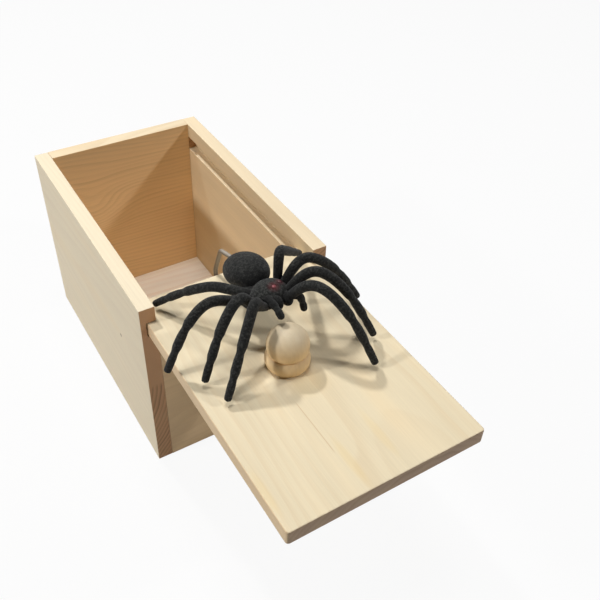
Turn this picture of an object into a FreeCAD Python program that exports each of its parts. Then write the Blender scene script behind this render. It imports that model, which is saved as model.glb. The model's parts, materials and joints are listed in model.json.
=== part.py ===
import FreeCAD, Part
import math
import os

import Sketcher
from FreeCAD import Placement, Rotation, Vector

doc = FreeCAD.newDocument("SpiderBox")

# Driving dimensions in millimetres, degrees and counts.
# X runs to the right, Y to the rear, Z up, from the middle of the box's underside.
# The lid is drawn out towards -Y and stands open, as far as it goes.
SIZES = [
    ("box_length", 120.0),
    ("box_width", 79.0),
    ("box_height", 84.5),
    ("side_thick", 6.2),
    ("end_thick", 6.2),
    ("bottom_thick", 3.0),
    ("rim_height", 6.75),
    ("groove_deep", 3.9),
    ("groove_runout", 0.6),
    ("lid_thick", 6.0),
    ("lid_play", 0.25),
    ("lid_side_play", 0.4),
    ("lid_rear_gap", 3.4),
    ("lid_open", 97.6),
    ("lid_corner", 1.2),
    ("knob_foot_dia", 14.0),
    ("knob_bead_dia", 15.9),
    ("knob_groove_up", 6.0),
    ("knob_groove_half", 0.3),
    ("knob_groove_dia", 12.2),
    ("knob_ball_dia", 14.4),
    ("knob_ball_up", 9.1),
    ("knob_from_end", 54.0),
    ("knob_aside", -3.0),
    ("knob_screw_dia", 2.8),
    ("knob_screw_head", 5.6),
    ("knob_screw_sunk", 0.3),
    ("knob_screw_grip", 9.0),
    ("wire_dia", 1.7),
    ("wire_bend", 1.8),
    ("wire_behind", 1.15),
    ("knuckle_play", 0.08),
    ("clip_sheet", 0.5),
    ("clip_from", 1.5),
    ("clip_width", 7.0),
    ("clip_stop_gap", 0.3),
    ("clip_screw_dia", 1.4),
    ("clip_screw_head", 2.6),
    ("clip_screw_head_high", 0.8),
    ("clip_screw_deep", 4.0),
    ("clip_screw_edge", 1.8),
    ("clip_screw_from_end", 3.4),
    ("spring_wire", 0.6),
    ("spring_play", 0.3),
    ("spring_turns", 5),
    ("spring_pitch", 1.12),
    ("spring_from_clip", 0.6),
    ("spring_foot", 4.5),
    ("spring_hook_high", 3.2),
    ("spring_hook_long", 2.6),
    ("tail_from_spring", 1.5),
    ("tail_high", 4.6),
    ("arm_aside", -2.4),
    ("arm_sweep", 1.4),
    ("arm_straight", 2.0),
    ("arm_lean", 5.2),
    ("arm_high", 14.5),
    ("arm_bend", 2.6),
    ("arm_reach", 14.8),
    ("arm_rise", 3.1),
    ("abdomen_length", 21.2),
    ("abdomen_width", 15.8),
    ("abdomen_high", 12.2),
    ("abdomen_droop", 17.5),
    ("abdomen_grip", 2.8),
    ("abdomen_sink", 0.7),
    ("head_length", 15.6),
    ("head_width", 13.4),
    ("head_overlap", 1.0),
    ("head_rise", 0.6),
    ("shield_length", 12.4),
    ("shield_width", 14.2),
    ("shield_high", 8.0),
    ("shield_back", 0.6),
    ("shield_aside", 0.3),
    ("shield_up", 0.6),
    ("chest_length", 14.0),
    ("chest_width", 15.6),
    ("chest_high", 7.2),
    ("chest_back", 4.7),
    ("chest_aside", -1.2),
    ("chest_drop", 3.4),
    ("eye_dia", 2.0),
    ("jaw_length", 5.6),
    ("jaw_width", 4.0),
    ("jaw_high", 5.2),
    ("leg_dia", 3.7),
    ("leg_tip_dia", 2.0),
    ("leg_hip_drop", 0.6),
    ("leg_tip_up", 2.0),
    ("palp_dia", 2.9),
]

sheet = doc.addObject("Spreadsheet::Sheet", "Sizes")
for row, (alias, size) in enumerate(SIZES, start=1):
    sheet.set(f"A{row}", alias)
    sheet.set(f"B{row}", str(size))
    sheet.setAlias(f"B{row}", alias)
doc.recompute()


def size(expression):
    return float(sheet.evalExpression(expression))


# Places that several pieces share, as expressions on the sheet.
FRONT = "(-Sizes.box_length / 2)"
REAR = "(Sizes.box_length / 2)"
FRONT_INNER = f"({FRONT} + Sizes.end_thick)"
REAR_INNER = f"({REAR} - Sizes.end_thick)"
SIDE_INNER = "(Sizes.box_width / 2 - Sizes.side_thick)"
GROOVE_WALL = f"({SIDE_INNER} + Sizes.groove_deep)"
GROOVE_TOP = "(Sizes.box_height - Sizes.rim_height)"
GROOVE_FLOOR = f"({GROOVE_TOP} - Sizes.lid_thick - 2 * Sizes.lid_play)"
LID_UNDER = f"({GROOVE_FLOOR} + Sizes.lid_play)"
LID_TOP = f"({LID_UNDER} + Sizes.lid_thick)"
LID_HALF = f"({GROOVE_WALL} - Sizes.lid_side_play)"
LID_OUTER = f"({FRONT} - Sizes.lid_open)"
LID_INNER = f"({LID_OUTER} + Sizes.box_length - Sizes.end_thick - Sizes.lid_rear_gap)"
KNOB_Y = f"({LID_INNER} - Sizes.knob_from_end)"
KNUCKLE_BORE = "(Sizes.wire_dia / 2 + Sizes.knuckle_play)"
KNUCKLE_OUTER = f"({KNUCKLE_BORE} + Sizes.clip_sheet)"
PIVOT_Y = f"({LID_INNER} + Sizes.wire_behind)"
PIVOT_Z = f"({LID_UNDER} - {KNUCKLE_OUTER})"
CLIP_FRONT = f"({FRONT_INNER} + Sizes.clip_stop_gap)"
CLIP_TO = "(Sizes.clip_from + Sizes.clip_width)"


# Sketches and bodies.
def new_body(label):
    body = doc.addObject("PartDesign::Body", label)
    body.Label = label
    return body


def new_sketch(body, name, role, lift="0"):
    sketch = body.newObject("Sketcher::SketchObject", name)
    plane = next(feature for feature in body.Origin.OriginFeatures if feature.Role == role)
    sketch.AttachmentSupport = [(plane, "")]
    sketch.MapMode = "FlatFace"
    sketch.setExpression("AttachmentOffset.Base.z", lift)
    return sketch


def hold(sketch, kind, edge, end, expression):
    index = sketch.addConstraint(Sketcher.Constraint(kind, -1, 1, edge, end, size(expression)))
    name = f"{kind}_{edge}_{end}"
    sketch.renameConstraint(index, name)
    sketch.setExpression(f"Constraints.{name}", expression)


def hold_radius(sketch, edge, expression):
    index = sketch.addConstraint(Sketcher.Constraint("Radius", edge, size(expression)))
    name = f"Radius_{edge}"
    sketch.renameConstraint(index, name)
    sketch.setExpression(f"Constraints.{name}", expression)


def join(sketch, edge, next_edge):
    sketch.addConstraint(Sketcher.Constraint("Coincident", edge, 2, next_edge, 1))


def polygon(sketch, corners):
    places = [Vector(size(x), size(y), 0) for x, y in corners]
    count = len(places)
    for index, place in enumerate(places):
        sketch.addGeometry(Part.LineSegment(place, places[(index + 1) % count]))
    for index, (x, y) in enumerate(corners):
        join(sketch, index, (index + 1) % count)
        hold(sketch, "DistanceX", index, 1, x)
        hold(sketch, "DistanceY", index, 1, y)


def rectangle(sketch, low_x, high_x, low_y, high_y):
    polygon(sketch, [(low_x, low_y), (high_x, low_y), (high_x, high_y), (low_x, high_y)])


def circle(sketch, x, y, radius):
    edge = sketch.addGeometry(Part.Circle(Vector(size(x), size(y), 0), Vector(0, 0, 1), size(radius)))
    hold(sketch, "DistanceX", edge, 3, x)
    hold(sketch, "DistanceY", edge, 3, y)
    hold_radius(sketch, edge, radius)


def pad(body, sketch, name, length, symmetric=False):
    feature = body.newObject("PartDesign::Pad", name)
    feature.Profile = sketch
    feature.setExpression("Length", length)
    if symmetric:
        feature.SideType = "Symmetric"
    return feature


def revolve(body, sketch, name, axis):
    feature = body.newObject("PartDesign::Revolution", name)
    feature.Profile = sketch
    feature.ReferenceAxis = (sketch, [axis])
    feature.Angle = 360
    return feature


def place(piece, x, y, z):
    piece.setExpression("Placement.Base.x", x)
    piece.setExpression("Placement.Base.y", y)
    piece.setExpression("Placement.Base.z", z)


def cut(label, base, tool):
    piece = doc.addObject("Part::Cut", label)
    piece.Label = label
    piece.Base = base
    piece.Tool = tool
    return piece


def trim(label, piece, tools):
    for tool in tools[:-1]:
        piece = cut(f"{label}_off_{tool.Label}", piece, tool)
    return cut(label, piece, tools[-1])


def fuse(label, base, tool):
    piece = doc.addObject("Part::Fuse", label)
    piece.Label = label
    piece.Base = base
    piece.Tool = tool
    return piece


def group(label, members):
    piece = doc.addObject("Part::Compound", label)
    piece.Label = label
    piece.Links = members
    return piece


def shape_piece(label, shape):
    piece = doc.addObject("Part::Feature", label)
    piece.Label = label
    piece.Shape = shape
    return piece


# Box boards.
def side_board(label, sign):
    outer = f"{sign} * Sizes.box_width / 2"
    inner = f"{sign} * {SIDE_INNER}"
    groove = f"{sign} * {GROOVE_WALL}"
    body = new_body(label)
    section = new_sketch(body, f"{label}_section", "XZ_Plane")
    polygon(section, [
        (outer, "0"),
        (inner, "0"),
        (inner, GROOVE_FLOOR),
        (groove, GROOVE_FLOOR),
        (groove, GROOVE_TOP),
        (inner, GROOVE_TOP),
        (inner, "Sizes.box_height"),
        (outer, "Sizes.box_height"),
    ])
    pad(body, section, f"{label}_length", "Sizes.box_length", symmetric=True)
    stop = new_sketch(body, f"{label}_groove_end", "XZ_Plane", f"-{REAR}")
    rectangle(stop, inner, groove, GROOVE_FLOOR, GROOVE_TOP)
    pad(body, stop, f"{label}_groove_stop", "Sizes.end_thick - Sizes.groove_runout")
    return body


def flat_board(label, y_from, y_to, height):
    body = new_body(label)
    outline = new_sketch(body, f"{label}_outline", "XY_Plane")
    rectangle(outline, f"-{SIDE_INNER}", SIDE_INNER, y_from, y_to)
    pad(body, outline, f"{label}_height", height)
    return body


left_side_board = side_board("left_side_board", -1)
right_side_board = side_board("right_side_board", 1)
rear_board = flat_board("rear_board", REAR_INNER, REAR, "Sizes.box_height")
front_board = flat_board("front_board", FRONT, FRONT_INNER, GROOVE_FLOOR)
bottom_board = flat_board("bottom_board", FRONT_INNER, REAR_INNER, "Sizes.bottom_thick")


# Screws are turned about their own axis, with the head at the bottom and the point up.
def screw_body(label, profile):
    body = new_body(label)
    half = new_sketch(body, f"{label}_half", "XZ_Plane")
    polygon(half, profile)
    revolve(body, half, f"{label}_turned", "V_Axis")
    return body


knob_screw_long = "(Sizes.lid_thick - Sizes.knob_screw_sunk + Sizes.knob_screw_grip)"
knob_screw_slope = "((Sizes.knob_screw_head - Sizes.knob_screw_dia) / 2)"
knob_screw = screw_body("knob_screw", [
    ("0", "0"),
    ("Sizes.knob_screw_head / 2", "0"),
    ("Sizes.knob_screw_dia / 2", knob_screw_slope),
    ("Sizes.knob_screw_dia / 2", f"{knob_screw_long} - Sizes.knob_screw_dia"),
    ("0", knob_screw_long),
])
place(knob_screw, "Sizes.knob_aside", KNOB_Y, f"{LID_UNDER} + Sizes.knob_screw_sunk")

# The screw head's way in, from the lid's underside.
knob_screw_mouth = doc.addObject("Part::Cylinder", "knob_screw_mouth")
knob_screw_mouth.setExpression("Radius", "Sizes.knob_screw_head / 2")
knob_screw_mouth.setExpression("Height", "Sizes.knob_screw_sunk")
place(knob_screw_mouth, "Sizes.knob_aside", KNOB_Y, LID_UNDER)

clip_screw_profile = [
    ("0", "-Sizes.clip_screw_head_high"),
    ("Sizes.clip_screw_head / 2", "-Sizes.clip_screw_head_high"),
    ("Sizes.clip_screw_head / 2", "0"),
    ("Sizes.clip_screw_dia / 2", "0"),
    ("Sizes.clip_screw_dia / 2", "Sizes.clip_sheet + Sizes.clip_screw_deep - Sizes.clip_screw_dia"),
    ("0", "Sizes.clip_sheet + Sizes.clip_screw_deep"),
]
clip_screw_bodies = []
for side_name, x_place in (
    ("inner", "Sizes.clip_from + Sizes.clip_screw_edge"),
    ("outer", f"{CLIP_TO} - Sizes.clip_screw_edge"),
):
    screw = screw_body(f"clip_screw_{side_name}", clip_screw_profile)
    place(screw, x_place, f"{LID_INNER} - Sizes.clip_screw_from_end", f"{LID_UNDER} - Sizes.clip_sheet")
    clip_screw_bodies.append(screw)
clip_screws = group("clip_screws", clip_screw_bodies)


# Lid panel, with rounded outer corners and the holes that its screws cut.
lid_blank = new_body("lid_blank")
lid_outline = new_sketch(lid_blank, "lid_outline", "XY_Plane", LID_UNDER)
rectangle(lid_outline, f"-{LID_HALF}", LID_HALF, LID_OUTER, LID_INNER)
lid_pad = pad(lid_blank, lid_outline, "lid_panel_thickness", "Sizes.lid_thick")
doc.recompute()
lid_front = size(LID_OUTER)
upright_edges = [
    f"Edge{number}"
    for number, edge in enumerate(lid_pad.Shape.Edges, start=1)
    if abs(edge.tangentAt(edge.FirstParameter).z) > 0.99 and abs(edge.CenterOfMass.y - lid_front) < 0.01
]
lid_rounding = lid_blank.newObject("PartDesign::Fillet", "lid_corner_rounding")
lid_rounding.Base = (lid_pad, upright_edges)
lid_rounding.setExpression("Radius", "Sizes.lid_corner")
lid_countersunk = cut("lid_countersunk", lid_blank, knob_screw_mouth)
lid_drilled = cut("lid_drilled", lid_countersunk, knob_screw)
lid_panel = cut("lid_panel", lid_drilled, clip_screws)


# Knob: a ball on a bead, turned in one piece, with a narrow groove between them.
GROOVE_LOW = "(Sizes.knob_groove_up - Sizes.knob_groove_half)"
GROOVE_HIGH = "(Sizes.knob_groove_up + Sizes.knob_groove_half)"
BEAD_SWELL = "((Sizes.knob_bead_dia - Sizes.knob_foot_dia) / 2)"
BEAD_ARC = f"(({GROOVE_LOW} ^ 2 / 4 + {BEAD_SWELL} ^ 2) / (2 * {BEAD_SWELL}))"
knob_turned = new_body("knob_turned")
knob_half = new_sketch(knob_turned, "knob_half", "XZ_Plane")
bead_arc = size(BEAD_ARC)
bead_middle = Vector(size("Sizes.knob_bead_dia / 2") - bead_arc, size(f"{GROOVE_LOW} / 2"), 0)
bead_turn = math.asin(bead_middle.y / bead_arc)
ball_radius = size("Sizes.knob_ball_dia / 2")
ball_middle = Vector(0, size("Sizes.knob_ball_up"), 0)
seam_turn = math.asin((size(GROOVE_HIGH) - ball_middle.y) / ball_radius)
bead_edge = Part.ArcOfCircle(Part.Circle(bead_middle, Vector(0, 0, 1), bead_arc), -bead_turn, bead_turn)
ball_edge = Part.ArcOfCircle(Part.Circle(ball_middle, Vector(0, 0, 1), ball_radius), seam_turn, math.pi / 2)
groove_foot = Vector(size("Sizes.knob_groove_dia / 2"), size("Sizes.knob_groove_up"), 0)
knob_half.addGeometry(Part.LineSegment(Vector(0, 0, 0), bead_edge.StartPoint))
knob_half.addGeometry(bead_edge)
knob_half.addGeometry(Part.LineSegment(bead_edge.EndPoint, groove_foot))
knob_half.addGeometry(Part.LineSegment(groove_foot, ball_edge.StartPoint))
knob_half.addGeometry(ball_edge)
knob_half.addGeometry(Part.LineSegment(ball_edge.EndPoint, Vector(0, 0, 0)))
for edge in range(5):
    join(knob_half, edge, edge + 1)
join(knob_half, 5, 0)
hold(knob_half, "DistanceX", 0, 1, "0")
hold(knob_half, "DistanceY", 0, 1, "0")
hold(knob_half, "DistanceX", 1, 1, "Sizes.knob_foot_dia / 2")
hold(knob_half, "DistanceY", 1, 1, "0")
hold_radius(knob_half, 1, BEAD_ARC)
hold(knob_half, "DistanceX", 2, 1, "Sizes.knob_foot_dia / 2")
hold(knob_half, "DistanceY", 2, 1, GROOVE_LOW)
hold(knob_half, "DistanceX", 3, 1, "Sizes.knob_groove_dia / 2")
hold(knob_half, "DistanceY", 3, 1, "Sizes.knob_groove_up")
hold(knob_half, "DistanceY", 4, 1, GROOVE_HIGH)
hold(knob_half, "DistanceX", 4, 3, "0")
hold(knob_half, "DistanceY", 4, 3, "Sizes.knob_ball_up")
hold_radius(knob_half, 4, "Sizes.knob_ball_dia / 2")
hold(knob_half, "DistanceX", 5, 1, "0")
revolve(knob_turned, knob_half, "knob_turning", "V_Axis")
place(knob_turned, "Sizes.knob_aside", KNOB_Y, LID_TOP)
knob = cut("knob", knob_turned, knob_screw)


# Pivot clip: a strip under the lid, rolled into a knuckle behind the lid's lower edge.
pivot_clip = new_body("pivot_clip")
clip_plate = new_sketch(pivot_clip, "clip_plate", "YZ_Plane", "Sizes.clip_from")
rectangle(clip_plate, CLIP_FRONT, PIVOT_Y, f"{LID_UNDER} - Sizes.clip_sheet", LID_UNDER)
pad(pivot_clip, clip_plate, "clip_plate_width", "Sizes.clip_width")
clip_knuckle = new_sketch(pivot_clip, "clip_knuckle", "YZ_Plane", "Sizes.clip_from")
circle(clip_knuckle, PIVOT_Y, PIVOT_Z, KNUCKLE_OUTER)
pad(pivot_clip, clip_knuckle, "clip_knuckle_width", "Sizes.clip_width")
clip_bore = new_sketch(pivot_clip, "clip_bore", "YZ_Plane", "Sizes.clip_from")
circle(clip_bore, PIVOT_Y, PIVOT_Z, KNUCKLE_BORE)
clip_reamed = pivot_clip.newObject("PartDesign::Pocket", "clip_reamed")
clip_reamed.Profile = clip_bore
clip_reamed.setExpression("Length", "Sizes.clip_width")
clip_reamed.Reversed = True
for screw in clip_screw_bodies:
    hole = new_sketch(pivot_clip, f"{screw.Label}_hole", "XY_Plane", f"{LID_UNDER} - Sizes.clip_sheet")
    hole_x = screw.ExpressionEngine[0][1]
    circle(hole, hole_x, f"{LID_INNER} - Sizes.clip_screw_from_end", "Sizes.clip_screw_dia / 2")
    drilled = pivot_clip.newObject("PartDesign::Pocket", f"{screw.Label}_drilled")
    drilled.Profile = hole
    drilled.setExpression("Length", "Sizes.clip_sheet")
    drilled.Reversed = True


# Bent wire: straight runs joined by tangent arcs.
def rounded_path(points, radii):
    edges = []
    start = points[0]
    for before, corner, after, radius in zip(points, points[1:], points[2:], radii):
        back = (before - corner).normalize()
        ahead = (after - corner).normalize()
        half_turn = (math.pi - back.getAngle(ahead)) / 2
        setback = radius * math.tan(half_turn)
        bisector = (back + ahead).normalize()
        middle = corner + bisector * (radius / math.cos(half_turn) - radius)
        first = corner + back * setback
        last = corner + ahead * setback
        edges.append(Part.LineSegment(start, first).toShape())
        edges.append(Part.Arc(first, middle, last).toShape())
        start = last
    edges.append(Part.LineSegment(start, points[-1]).toShape())
    return edges


def rod(edges, radius):
    first = edges[0]
    heading = first.tangentAt(first.FirstParameter)
    section = Part.Circle(first.valueAt(first.FirstParameter), heading, radius).toShape()
    return Part.Wire(edges).makePipeShell([Part.Wire([section])], True, False)


pivot_y = size(PIVOT_Y)
pivot_z = size(PIVOT_Z)
lid_top = size(LID_TOP)
wire_bend = size("Sizes.wire_bend")
arm_x = size("Sizes.arm_aside")
spider_x = arm_x + size("Sizes.arm_sweep")
spring_x = size(f"{CLIP_TO} + Sizes.spring_from_clip")
spring_end_x = spring_x + size("(Sizes.spring_turns + 0.25) * Sizes.spring_pitch")
tail_x = spring_end_x + size("Sizes.tail_from_spring")
arm_knee_z = lid_top + size("Sizes.arm_straight")
arm_top_y = pivot_y - size("Sizes.arm_lean")
arm_top_z = lid_top + size("Sizes.arm_high")
arm_end_y = arm_top_y - size("Sizes.arm_reach")
body_z = arm_top_z + size("Sizes.arm_rise")
arm_route = [
    Vector(tail_x, pivot_y, pivot_z + size("Sizes.tail_high")),
    Vector(tail_x, pivot_y, pivot_z),
    Vector(arm_x, pivot_y, pivot_z),
    Vector(arm_x, pivot_y, arm_knee_z),
    Vector(arm_x, arm_top_y, arm_top_z),
    Vector(spider_x, arm_end_y, body_z),
]
arm_bends = [wire_bend, wire_bend, size("2 * Sizes.arm_bend"), size("Sizes.arm_bend")]
spider_arm = shape_piece("spider_arm", rod(rounded_path(arm_route, arm_bends), size("Sizes.wire_dia / 2")))


# Throw spring: one wire from its foot under the lid, round the pivot, to its hook behind the tail.
def arc_from(start, heading, end):
    chord = end - start
    toward = (heading.normalize() + Vector(chord).normalize()).normalize()
    reach = chord.Length / 2 / math.cos(toward.getAngle(chord))
    return Part.Arc(start, start + toward * reach, end).toShape()


def biarc(start, heading, end, heading_out):
    chord = end - start
    both = heading + heading_out
    spread = 2 * (1 - heading.dot(heading_out))
    along = chord.dot(both)
    reach = (math.sqrt(along ** 2 + spread * chord.dot(chord)) - along) / spread
    ahead = start + heading * reach
    behind = end - heading_out * reach
    middle = (ahead + behind) * 0.5
    return [arc_from(start, Vector(heading), middle), arc_from(middle, behind - ahead, end)]


spring_radius = size("Sizes.spring_wire / 2")
coil_radius = size("(Sizes.wire_dia + Sizes.spring_wire) / 2 + Sizes.spring_play")
coil_pitch = size("Sizes.spring_pitch")
quarter_count = int(size("4 * Sizes.spring_turns + 1"))


def coil_place(quarter):
    angle = math.radians(90 * quarter - 90)
    x = spring_x + coil_pitch * quarter / 4
    return Vector(x, pivot_y + coil_radius * math.cos(angle), pivot_z + coil_radius * math.sin(angle))


def coil_heading(quarter):
    angle = math.radians(90 * quarter - 90)
    rise = coil_pitch / (2 * math.pi * coil_radius)
    return Vector(rise, -math.sin(angle), math.cos(angle)).normalize()


coil_start = coil_place(0)
coil_end = coil_place(quarter_count)
foot_y = pivot_y - size("Sizes.spring_foot")
foot_tip = Vector(coil_start.x, foot_y, size(f"{LID_UNDER} - Sizes.clip_stop_gap"))
foot_corner = Vector(coil_start.x, foot_y, coil_start.z)
hook_corner = coil_end + Vector(0, 0, size("Sizes.spring_hook_high"))
hook_tip = hook_corner + Vector(size("Sizes.spring_hook_long"), 0, 0)
leg_bend = [size("1.5 * Sizes.spring_wire")]
spring_edges = rounded_path([foot_tip, foot_corner, coil_start], leg_bend)
for quarter in range(quarter_count):
    spring_edges += biarc(
        coil_place(quarter), coil_heading(quarter), coil_place(quarter + 1), coil_heading(quarter + 1)
    )
spring_edges += rounded_path([coil_end, hook_corner, hook_tip], leg_bend)
throw_spring = shape_piece("throw_spring", rod(spring_edges, spring_radius))

spring_line = Part.Wire(spring_edges).discretize(Distance=coil_radius / 10)
near_steps = int(math.pi * 10)
least_gap = min(
    (later - earlier).Length
    for index, earlier in enumerate(spring_line)
    for later in spring_line[index + near_steps:]
) - 2 * spring_radius
print(f"throw_spring least gap to itself {least_gap:.2f} mm")


# Spider body: a drooping egg round the arm's end, and in front of it a shield over a flatter chest.
def oval(label, middle, half_x, half_y, half_z, droop=0.0):
    form = doc.addObject("Part::Ellipsoid", label)
    form.Radius1 = half_z
    form.Radius2 = half_x
    form.Radius3 = half_y
    form.Angle1 = -90
    form.Angle2 = 90
    form.Angle3 = 360
    form.Placement = Placement(middle, Rotation(Vector(1, 0, 0), -droop))
    return form


abdomen_half = Vector(
    size("Sizes.abdomen_width / 2"), size("Sizes.abdomen_length / 2"), size("Sizes.abdomen_high / 2")
)
abdomen_droop = size("Sizes.abdomen_droop")
abdomen_middle = Vector(
    spider_x, arm_end_y - size("Sizes.abdomen_grip"), body_z - size("Sizes.abdomen_sink")
)
abdomen_form = oval(
    "abdomen_form", abdomen_middle, abdomen_half.x, abdomen_half.y, abdomen_half.z, abdomen_droop
)
spider_abdomen = cut("spider_abdomen", abdomen_form, spider_arm)

head_half_width = size("Sizes.head_width / 2")
head_half_length = size("Sizes.head_length / 2")
abdomen_front_y = abdomen_middle.y - abdomen_half.y * math.cos(math.radians(abdomen_droop))
head_y = abdomen_front_y + size("Sizes.head_overlap") - head_half_length
head_middle = Vector(spider_x, head_y, body_z + size("Sizes.head_rise"))

shield_half = Vector(
    size("Sizes.shield_width / 2"), size("Sizes.shield_length / 2"), size("Sizes.shield_high / 2")
)
shield_middle = head_middle + Vector(
    size("Sizes.shield_aside"), size("Sizes.shield_back"), size("Sizes.shield_up")
)
shield_form = oval("shield_form", shield_middle, shield_half.x, shield_half.y, shield_half.z)
chest_half = Vector(
    size("Sizes.chest_width / 2"), size("Sizes.chest_length / 2"), size("Sizes.chest_high / 2")
)
chest_middle = head_middle + Vector(
    size("Sizes.chest_aside"), size("Sizes.chest_back"), -size("Sizes.chest_drop")
)
chest_form = oval("chest_form", chest_middle, chest_half.x, chest_half.y, chest_half.z)
head_form = fuse("head_form", shield_form, chest_form)
spider_head = cut("spider_head", head_form, abdomen_form)

# Eyes sit on the shield, to the right of its middle and forward of it.
EYES = {"left": (0.4, 1.6), "right": (3.6, -0.1)}
eye_radius = size("Sizes.eye_dia / 2")
eye_parts = []
for side_name, (eye_x, eye_y) in EYES.items():
    eye_rise = shield_half.z * math.sqrt(1 - (eye_x / shield_half.x) ** 2 - (eye_y / shield_half.y) ** 2)
    eye_ball = doc.addObject("Part::Sphere", f"eye_ball_{side_name}")
    eye_ball.Radius = eye_radius
    eye_ball.Placement = Placement(shield_middle + Vector(eye_x, -eye_y, eye_rise), Rotation())
    eye_parts.append(cut(f"eye_{side_name}", eye_ball, head_form))
spider_eyes = group("spider_eyes", eye_parts)

# Jaws bulge below the shield's front edge: to the right of the head's middle, forward and up.
# Their poles lie fore and aft, so that the head cuts across the seam.
JAWS = {"left": (-0.3, 5.0, 0.5), "right": (3.9, 4.4, 0.2)}
jaw_half = Vector(size("Sizes.jaw_width / 2"), size("Sizes.jaw_length / 2"), size("Sizes.jaw_high / 2"))
jaw_forms = []
jaw_parts = []
for side_name, (sideways, forward, rise) in JAWS.items():
    jaw_middle = head_middle + Vector(sideways, -forward, rise)
    jaw_form = oval(f"jaw_form_{side_name}", jaw_middle, jaw_half.x, jaw_half.z, jaw_half.y, droop=90)
    jaw_forms.append(jaw_form)
    jaw_parts.append(trim(f"jaw_{side_name}", jaw_form, [shield_form, chest_form]))
spider_jaws = group("spider_jaws", jaw_parts)


# Limbs: lofts through round sections along an arched line, in an upright plane.
def ring(middle, along, side, radius):
    lift = side.cross(along).normalize()

    def rim(turn):
        angle = math.radians(turn)
        return middle + (side * math.cos(angle) + lift * math.sin(angle)) * radius

    quarters = [Part.Arc(rim(turn), rim(turn + 45), rim(turn + 90)) for turn in range(0, 360, 90)]
    return Part.Wire([quarter.toShape() for quarter in quarters])


def limb(label, hip, azimuth, stations, radii):
    outward = Vector(math.sin(azimuth), -math.cos(azimuth), 0)
    side = Vector(outward.y, -outward.x, 0)
    line = [hip + outward * reach + Vector(0, 0, rise) for reach, rise in stations]
    rings = []
    for index, middle in enumerate(line):
        before = line[max(index - 1, 0)]
        after = line[min(index + 1, len(line) - 1)]
        rings.append(ring(middle, (after - before).normalize(), side, radii[index]))
    return shape_piece(f"{label}_form", Part.makeLoft(rings, True, True))


# A leg's way from its knee to its tip: shares of the way, and how far it bows up there.
LEG_WAY = [(0.0, 0.0), (0.25, 0.15), (0.52, 0.19), (0.76, 0.13), (1.0, 0.0)]
# Shares of the leg's greatest thickness, from the hip outwards.
LEG_SWELL = [0.8, 0.95, 1.0, 0.92, 0.84, 0.74]
# Hips as shares of the head's half length and half width, forward and sideways.
HIPS = {"front": (0.5, 0.6), "second": (0.17, 0.74), "third": (-0.2, 0.76), "hind": (-0.5, 0.74)}
# Each leg's turn from straight ahead, its span, its knee's height over the middle of the head,
# the knee's share of the span, and the share of the bow below the knee.
LEGS = {
    "left_front": (53.2, 30.8, 9.3, 0.28, 0.05),
    "left_second": (69.1, 28.2, 8.6, 0.32, 1.37),
    "left_third": (85.5, 35.2, 5.9, 0.41, 1.85),
    "left_hind": (138.2, 38.1, -0.7, 0.37, 0.47),
    "right_front": (33.1, 34.4, 10.0, 0.29, 1.22),
    "right_second": (52.6, 32.2, 11.3, 0.3, 1.11),
    "right_third": (85.5, 32.3, 10.9, 0.26, 0.95),
    "right_hind": (136.2, 39.4, 13.2, 0.06, 0.0),
}

leg_radius = size("Sizes.leg_dia / 2")
tip_radius = size("Sizes.leg_tip_dia / 2")
hip_drop = size("Sizes.leg_hip_drop")
tip_drop = head_middle.z - (lid_top + size("Sizes.leg_tip_up"))
leg_radii = [swell * leg_radius for swell in LEG_SWELL] + [tip_radius]
spider_legs = []
leg_forms = {}
for leg_name, (turn, span, knee, share, bow) in LEGS.items():
    side_name, hip_name = leg_name.split("_")
    sign = -1 if side_name == "left" else 1
    forward, sideways = HIPS[hip_name]
    hip = head_middle + Vector(sign * sideways * head_half_width, -forward * head_half_length, -hip_drop)
    knee_rise = hip_drop + knee
    arch = [(0, 0), (0.42 * share * span, 0.62 * knee_rise)]
    for way, swing in LEG_WAY:
        reach = (share + (1 - share) * way) * span
        arch.append((reach, knee_rise - (way - bow * swing) * (knee + tip_drop)))
    leg_form = limb(f"spider_leg_{leg_name}", hip, math.radians(sign * turn), arch, leg_radii)
    neighbours = [form for name, form in leg_forms.items() if name.startswith(side_name)]
    leg_tools = neighbours + jaw_forms + [head_form, abdomen_form]
    spider_legs.append(trim(f"spider_leg_{leg_name}", leg_form, leg_tools))
    leg_forms[leg_name] = leg_form

# Each palp's root, sideways, forward and up from the middle of the head, then its turn from
# straight ahead, its length, its hump and its droop.
PALPS = {
    "left": (2.8, 3.1, 2.0, 0.0, 9.8, 0.2, 1.7),
    "right": (5.0, 5.25, 1.6, 68.0, 4.9, 0.3, 7.4),
}
palp_radius = size("Sizes.palp_dia / 2")
palp_radii = [palp_radius, 0.95 * palp_radius, 0.9 * palp_radius, 0.7 * palp_radius]
spider_palps = []
for side_name, (sideways, forward, rise, turn, length, hump, droop) in PALPS.items():
    sign = -1 if side_name == "left" else 1
    root = head_middle + Vector(sign * sideways, -forward, rise)
    arch = [
        (0, 0),
        (0.45 * length, hump),
        (0.8 * length, hump - 0.3 * (hump + droop)),
        (length, -droop),
    ]
    palp_form = limb(f"spider_palp_{side_name}", root, math.radians(sign * turn), arch, palp_radii)
    palp_tools = jaw_forms + [head_form, leg_forms[f"{side_name}_front"]]
    spider_palps.append(trim(f"spider_palp_{side_name}", palp_form, palp_tools))

doc.recompute()

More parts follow.
